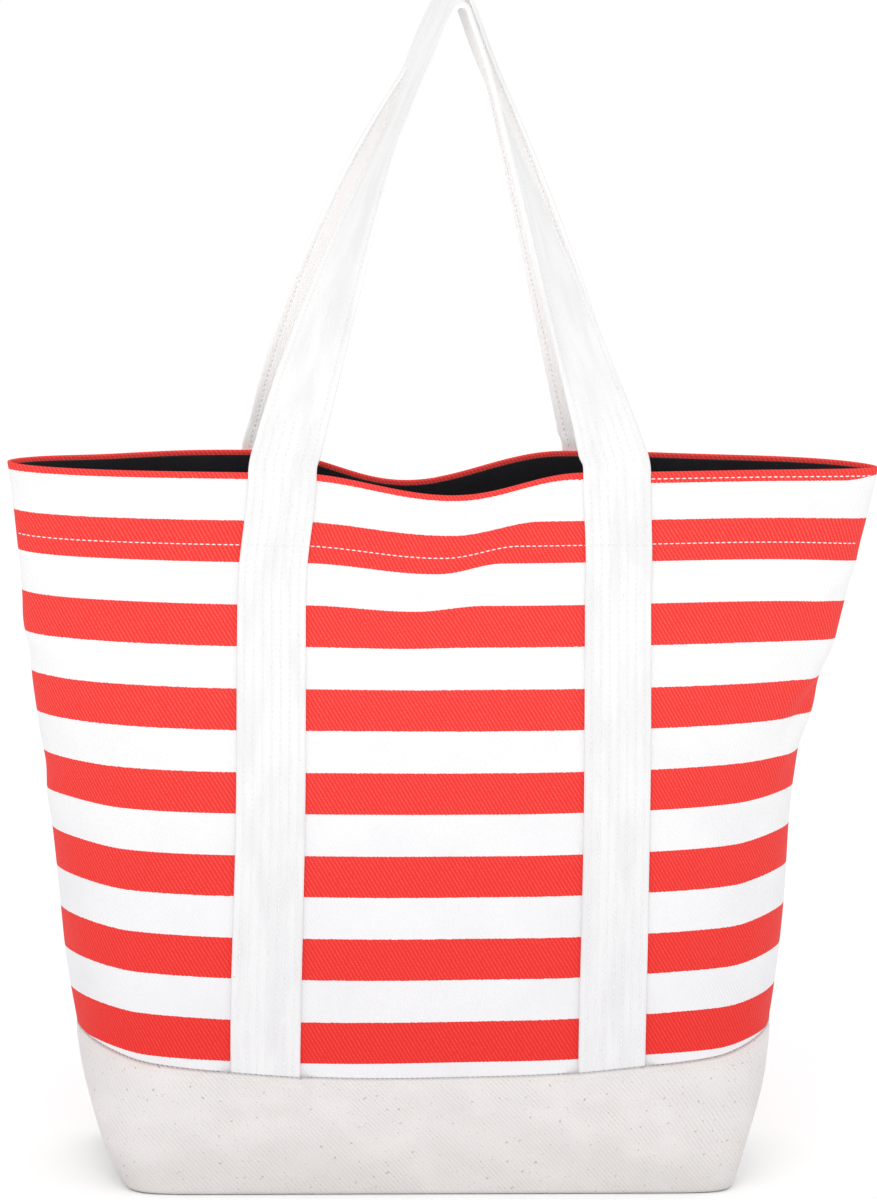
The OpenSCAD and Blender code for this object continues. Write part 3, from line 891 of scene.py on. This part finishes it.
class Ribbon:
    """The free length of a strap: frames from one leg, over the crown and down to the other."""

    def __init__(self, front):
        self.front = front
        self.side = -1 if front else 1
        self.feet = {side: self.foot(side) for side in (-1, 1)}
        left = self.strand(-1)
        right = self.strand(1)
        places, turns = zip(*left, *self.crown(left[-1][1]), *right[::-1])
        self.place = np.array(places)
        turn = np.array(turns)
        along = unit(np.gradient(self.place, axis=0))
        across = np.stack([np.cos(turn), np.sin(turn), 0 * turn], 1)
        self.across = unit(across - along * np.sum(across * along, 1, keepdims=True))
        self.out = np.cross(self.across, along) * -self.side
        self.rise = np.abs(self.place[:, 2] - BODY_H)

    def foot(self, side):
        """Middle of a leg's top, and the leg's direction there."""
        top = leg_points(side, self.front, BODY_H, 0, 0)
        way = top - leg_points(side, self.front, BODY_H - FOOT_SPAN, 0, 0)
        return top, way / np.linalg.norm(way)

    def on_crown(self, cosine, sine):
        """A place on the crown's arc."""
        apart = self.side * (STRAP_W / 2 + CROWN_GAP)
        centre = np.array([CROWN_X[self.front], apart, CROWN_Z - STRAP_T / 2 - CROWN_R])
        place = centre + CROWN_WAY * CROWN_R * cosine
        place[2] += CROWN_R * sine
        return place

    def strand(self, side):
        """Frames (place, turn) from a leg's top to the crown, along a Bezier curve."""
        top, way = self.feet[side]
        foot_reach, crown_reach, slope, reach, lateness = COURSE[self.front, side]
        end = self.on_crown(side * math.cos(slope), math.sin(slope))
        down = side * CROWN_WAY * math.sin(slope) - np.array([0, 0, 1]) * math.cos(slope)
        controls = [top, top + way * foot_reach, end + down * crown_reach, end]
        crown_turn = self.side * (math.pi / 2 + self.side * CROWN_YAW)
        inward = leg_points(side, self.front, BODY_H, 5, 0) - leg_points(side, self.front, BODY_H, -5, 0)
        foot_turn = math.atan2(inward[1], inward[0])
        if side > 0 and foot_turn * self.side < 0:
            foot_turn += self.side * 2 * math.pi
        places = []
        turns = []
        for u in np.linspace(0, 1, STRAND_STEPS + 1)[1:]:
            v = 1 - u
            weights = (v**3, 3 * v * v * u, 3 * v * u * u, u**3)
            place = sum(w * c for w, c in zip(weights, controls))
            rise = place[2] - BODY_H
            share = np.clip(rise / reach, 0, 1) ** lateness * smooth(rise, *TURN_START)
            places.append(place)
            turns.append(foot_turn + (crown_turn - foot_turn) * share)
        padded = np.pad(turns, TURN_EASE // 2, mode="edge")
        turns = np.convolve(padded, np.ones(TURN_EASE) / TURN_EASE, "valid")
        return list(zip(places, turns))

    def crown(self, turn):
        """Frames over the crown's arc, which all keep one turn."""
        first = math.pi - COURSE[self.front, -1][2]
        last = COURSE[self.front, 1][2]
        angles = np.linspace(first, last, CROWN_STEPS + 2)[1:-1]
        return [(self.on_crown(math.cos(angle), math.sin(angle)), turn) for angle in angles]

    def points(self, w, h):
        """Points at offsets w across and h out, at every station."""
        free = self.place[:, None] + self.across[:, None] * w[..., None] + self.out[:, None] * h[..., None]
        left_half = np.arange(len(self.place)) < len(self.place) / 2
        for side, half in ((-1, left_half), (1, ~left_half)):
            top, way = self.feet[side]
            climb = (self.place - top) @ way
            rooted = leg_points(side, self.front, BODY_H, w, h) + way * climb[:, None, None]
            hold = np.where(half, 1 - smooth(self.rise, 0, ROOTED), 0)
            free += hold[:, None, None] * (rooted - free)
        return free


def shaped(w, h, rise):
    """The section's outward offsets with grooves at the stitches; rise is the height above the rim."""
    depth = np.zeros(np.broadcast(w, rise).shape)
    for row in ROWS:
        held = 1.0 if row in EDGE_ROWS else 1 - smooth(rise, ROW_RISE - 3, ROW_RISE + 5)
        depth = np.maximum(depth, held * np.exp(-(((w - row) / GROOVE_W) ** 2)))
    return np.where(np.abs(h) > STRAP_T / 2 - 0.01, h - np.sign(h) * (GROOVE * depth), h)


def strap(front):
    """One whole strap, as one mesh: left leg, free loop and right leg."""
    side = SIDE[front]
    ribbon = Ribbon(front)
    w, h = SECTION.T[:, None]
    t = levels(STRAP_TUCK, BODY_H, LEG_STEP)[:, None]
    legs = [leg_points(leg, front, t, w, shaped(w, h, 0 * t)) for leg in (-1, 1)]
    loop = ribbon.points(w, shaped(w, h, ribbon.rise[:, None]))
    grid = np.concatenate([legs[0], loop, legs[1][::-1]])
    length = np.concatenate([[0], np.cumsum(np.linalg.norm(np.diff(grid.mean(1), axis=0), axis=1))])
    length -= length[-1] / 2
    shape = grid.shape[:2]
    stations, count = shape
    # The cloth's flat coordinates: across, along from the crown, and which face
    flat = np.stack([np.broadcast_to(part, shape) for part in (w, length[:, None], np.sign(h))], -1)
    points = np.moveaxis(grid, 0, 1).reshape(-1, 3)
    flat = np.moveaxis(flat, 0, 1).reshape(-1, 3)
    faces = ring_faces(count, stations)
    starts = [k * stations for k in range(count)]
    faces += [starts, [k + stations - 1 for k in starts[::-1]]]
    if front:
        faces = [face[::-1] for face in faces]
    piece = make_mesh(f"{side}_strap", points, faces, flat, STRAP_CLOTH)
    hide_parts(f"{side}_handle_leg_left", f"{side}_handle_leg_right", f"{side}_handle_loop")
    bend(piece)
    return ribbon


def bend(piece):
    """Bake the placement of a strap or its thread into its mesh."""
    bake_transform(piece)


ribbons = {is_front: strap(is_front) for is_front in (True, False)}

# ---- Stitching ----

STITCH_SIDES = 6
STITCH_RINGS = 5
STITCH_HEIGHT = 0.8  # a stitch's height over its width,
STITCH_ARCH = 0.3  # and how far its ends dip, over its width


def stitch_form(length, width):
    """Points of one stitch along +X, arched over the cloth."""
    along = np.linspace(-1, 1, STITCH_RINGS)[:, None]
    angle = 2 * math.pi * np.arange(STITCH_SIDES) / STITCH_SIDES
    radius = width / 2 * np.sqrt(np.maximum(0.05, 1 - along**4))
    z = radius * np.sin(angle) * STITCH_HEIGHT - STITCH_ARCH * width * along**2
    return np.stack([along * length / 2 + 0 * angle, radius * np.cos(angle), z], -1).reshape(-1, 3)


def stitch_faces():
    """Faces of one stitch: its sides and its two ends."""
    faces = []
    for a in range(0, (STITCH_RINGS - 1) * STITCH_SIDES, STITCH_SIDES):
        for k in range(STITCH_SIDES):
            n = (k + 1) % STITCH_SIDES
            faces.append([a + k, a + n, a + STITCH_SIDES + n, a + STITCH_SIDES + k])
    end = list(range(STITCH_SIDES))
    return faces + [end[::-1], [(STITCH_RINGS - 1) * STITCH_SIDES + k for k in end]]


def run_of_stitches(path, out, pitch, length, width):
    """Stitches along a path of points, on cloth that faces out."""
    measure = np.concatenate([[0], np.cumsum(np.linalg.norm(np.diff(path, axis=0), axis=1))])
    count = int((measure[-1] - length) / pitch) + 1
    places = length / 2 + pitch * np.arange(count)

    def sample(values, wanted):
        return np.stack([np.interp(wanted, measure, values[:, k]) for k in range(3)], 1)

    way = unit(sample(path, places + length / 2) - sample(path, places - length / 2))
    up = sample(out, places)
    up = unit(up - way * np.sum(up * way, 1, keepdims=True))
    form = stitch_form(length, width)
    points = sample(path, places)[:, None]
    for k, direction in enumerate((way, np.cross(up, way), up)):
        points = points + form[None, :, k, None] * direction[:, None]
    return points


def sew(name, runs, material):
    """One piece of thread from several runs of stitches."""
    points = np.concatenate(runs)
    count, per = points.shape[:2]
    one = stitch_faces()
    faces = [[k * per + v for v in face] for k in range(count) for face in one]
    return make_mesh(name, points.reshape(-1, 3), faces, None, material)


STITCH_W = 0.7
SUNK = 0.12  # how much of a stitch lies in the cloth
RIM_STITCH = 3.9  # the rim's stitches lie this far below the edge
BASE_STITCH = 3.6  # and the base's this far below its wall's edge
RIM_PITCH = 3.5
HEM_PITCH = 3.3
BODY_STITCH = 2.5  # length of a stitch in both
BASE_FORM = (3.4, 2.6, STITCH_W)  # pitch, length and width of the base's stitches
STRAP_FORM = (3.1, 2.3, STITCH_W)
SEAM_CLEAR = 5  # the rows end this far from a side seam
THREAD_RISE = 0.25  # height of a strap's thread over the bottom of its groove


def level_run(front, s, t, off, *form):
    """Stitches along the panel through the places s, at heights t."""
    return run_of_stitches(skin.at(s, t, off, front), skin.out(s, t, front), *form)


def body_stitching(front):
    """The rows of thread at the rim, the hem and the base wall's edge."""
    side = SIDE[front]
    edge = PANEL_W / 2 - SEAM_CLEAR
    clear = STRAP_W / 2 - 3
    spans = [(-edge, -STRAP_S - clear), (-STRAP_S + clear, STRAP_S - clear), (STRAP_S + clear, edge)]
    on_cloth = STITCH_W * 0.4 - SUNK
    half = STRAP_W / 2 - 1.5
    for row, t, pitch in (("rim", BODY_H - RIM_STITCH, RIM_PITCH), ("hem", HEM_Z, HEM_PITCH)):
        form = (pitch, BODY_STITCH, STITCH_W)
        runs = [level_run(front, np.linspace(*ends, 400), t, on_cloth, *form) for ends in spans]
        if row == "hem":
            for middle in (-STRAP_S, STRAP_S):
                s = np.linspace(middle - half, middle + half, 400)
                runs.append(level_run(front, s, t, PLY + STRAP_T + on_cloth, *form))
        piece = sew(f"{side}_{row}_stitches", runs, WHITE_THREAD)
        finish_piece(piece, "bag", "thread", f"{row}_stitching_{side}")
    s = np.linspace(-edge, edge, 400)
    t = base_edge(s) - BASE_STITCH
    off = CANVAS + PLY - edge_press(BASE_STITCH) + strap_bulge(s, t) + on_cloth
    piece = sew(f"{side}_base_stitches", [level_run(front, s, t, off, *BASE_FORM)], NATURAL_THREAD)
    finish_piece(piece, "bag", "thread", f"base_stitching_{side}")


def strap_stitching(front):
    """The rows of thread on a strap's legs and on both faces of its loop."""
    side = SIDE[front]
    runs = []
    t = np.linspace(base_edge(STRAP_S) + 2, BODY_H - 1, 200)
    h = STRAP_T / 2 - GROOVE + THREAD_RISE
    for leg in (-1, 1):
        for row in ROWS:
            path = leg_points(leg, front, t, row, h)
            out = leg_points(leg, front, t, row, h + 1) - path
            runs.append(run_of_stitches(path, out, *STRAP_FORM))
    piece = sew(f"{side}_leg_stitches", runs, WHITE_THREAD)
    finish_piece(piece, "bag", "thread", f"{side}_leg_stitching")

    ribbon = ribbons[front]
    runs = []
    for row in ROWS:
        for face in (1, -1):
            path = ribbon.points(np.array([[row]]), np.array([[face * h]]))[:, 0]
            out = ribbon.out * face
            if row in EDGE_ROWS:
                runs.append(run_of_stitches(path[1:-1], out[1:-1], *STRAP_FORM))
                continue
            low = ribbon.rise < ROW_RISE
            left = np.arange(len(path)) < len(path) // 2
            for keep in (low & left, low & ~left):
                runs.append(run_of_stitches(path[keep], out[keep], *STRAP_FORM))
    piece = sew(f"{side}_loop_stitches", runs, WHITE_THREAD)
    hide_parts(f"{side}_loop_stitching")
    bend(piece)


for is_front in (True, False):
    body_stitching(is_front)
    strap_stitching(is_front)

# ---- Floor, light and camera ----

CAMERA_TARGET = np.array([0.001, 0.0, 0.3245])
CAMERA_AZIMUTH = math.radians(-5.2)
CAMERA_ELEVATION = math.radians(12.8)
CAMERA_DISTANCE = 10.0
CAMERA_ROLL = math.radians(1.15)
FRAME_HEIGHT = 0.672  # height of the view at the target
SENSOR = 36.0
LIGHT_TARGET = (0, 0, 0.3)
FLOOR_RADIUS = 14000
FLOOR_Z = -0.1
FLOOR = (0.97, 0.97, 0.97, 1)
SKY = 1.01  # strength of the white sky


def aim(thing, azimuth, elevation, distance, target):
    """Put an object at a distance from the target, with its -Z axis towards it."""
    level = math.cos(elevation) * distance
    place = np.array(target) + np.array([
        math.sin(azimuth) * level, -math.cos(azimuth) * level, math.sin(elevation) * distance])
    way = np.array(target) - place
    thing.location = place
    tilt = math.atan2(math.hypot(way[0], way[1]), -way[2])
    thing.rotation_euler = (tilt, 0, math.atan2(way[0], -way[1]) + math.pi)


def camera():
    data = bpy.data.cameras.new("camera")
    data.sensor_fit = "VERTICAL"
    data.sensor_height = SENSOR
    data.lens = SENSOR * CAMERA_DISTANCE / FRAME_HEIGHT
    made = add("camera", data)
    aim(made, CAMERA_AZIMUTH, CAMERA_ELEVATION, CAMERA_DISTANCE, CAMERA_TARGET)
    made.rotation_euler.rotate_axis("Z", CAMERA_ROLL)
    bpy.context.scene.camera = made


def area_light(name, azimuth, elevation, distance, size, power, colour):
    """A round light, with angles in degrees, metres and watts."""
    data = bpy.data.lights.new(name, "AREA")
    data.shape = "DISK"
    data.size = size
    data.energy = power
    data.color = colour
    aim(add(name, data), math.radians(azimuth), math.radians(elevation), distance, LIGHT_TARGET)


def studio():
    """A pale floor under a white sky, with three soft lights."""
    net = Net("floor_paint", roughness=0.95, specular=0.0)
    net.shader.inputs["Base Color"].default_value = FLOOR
    angles = np.linspace(0, 2 * math.pi, 97)[:-1]
    x = FLOOR_RADIUS * np.cos(angles)
    y = FLOOR_RADIUS * np.sin(angles)
    edge = np.column_stack([x, y, 0 * angles + FLOOR_Z])
    floor = make_mesh("studio_floor", edge, [list(range(len(angles)))], None, net.material)
    world = bpy.data.worlds.new("studio")
    world.use_nodes = True
    sky = world.node_tree.nodes["Background"].inputs
    sky["Color"].default_value = PLAIN
    sky["Strength"].default_value = SKY
    bpy.context.scene.world = world
    area_light("key", -14, 34, 3.0, 2.2, 18, (1.0, 0.995, 0.99))
    area_light("fill", 40, 22, 3.5, 2.5, 4, (0.99, 0.995, 1.0))
    area_light("back", 165, 45, 3.2, 2.2, 5, (1.0, 1.0, 1.0))
    bpy.context.scene.view_settings.view_transform = "Standard"


camera()
studio()
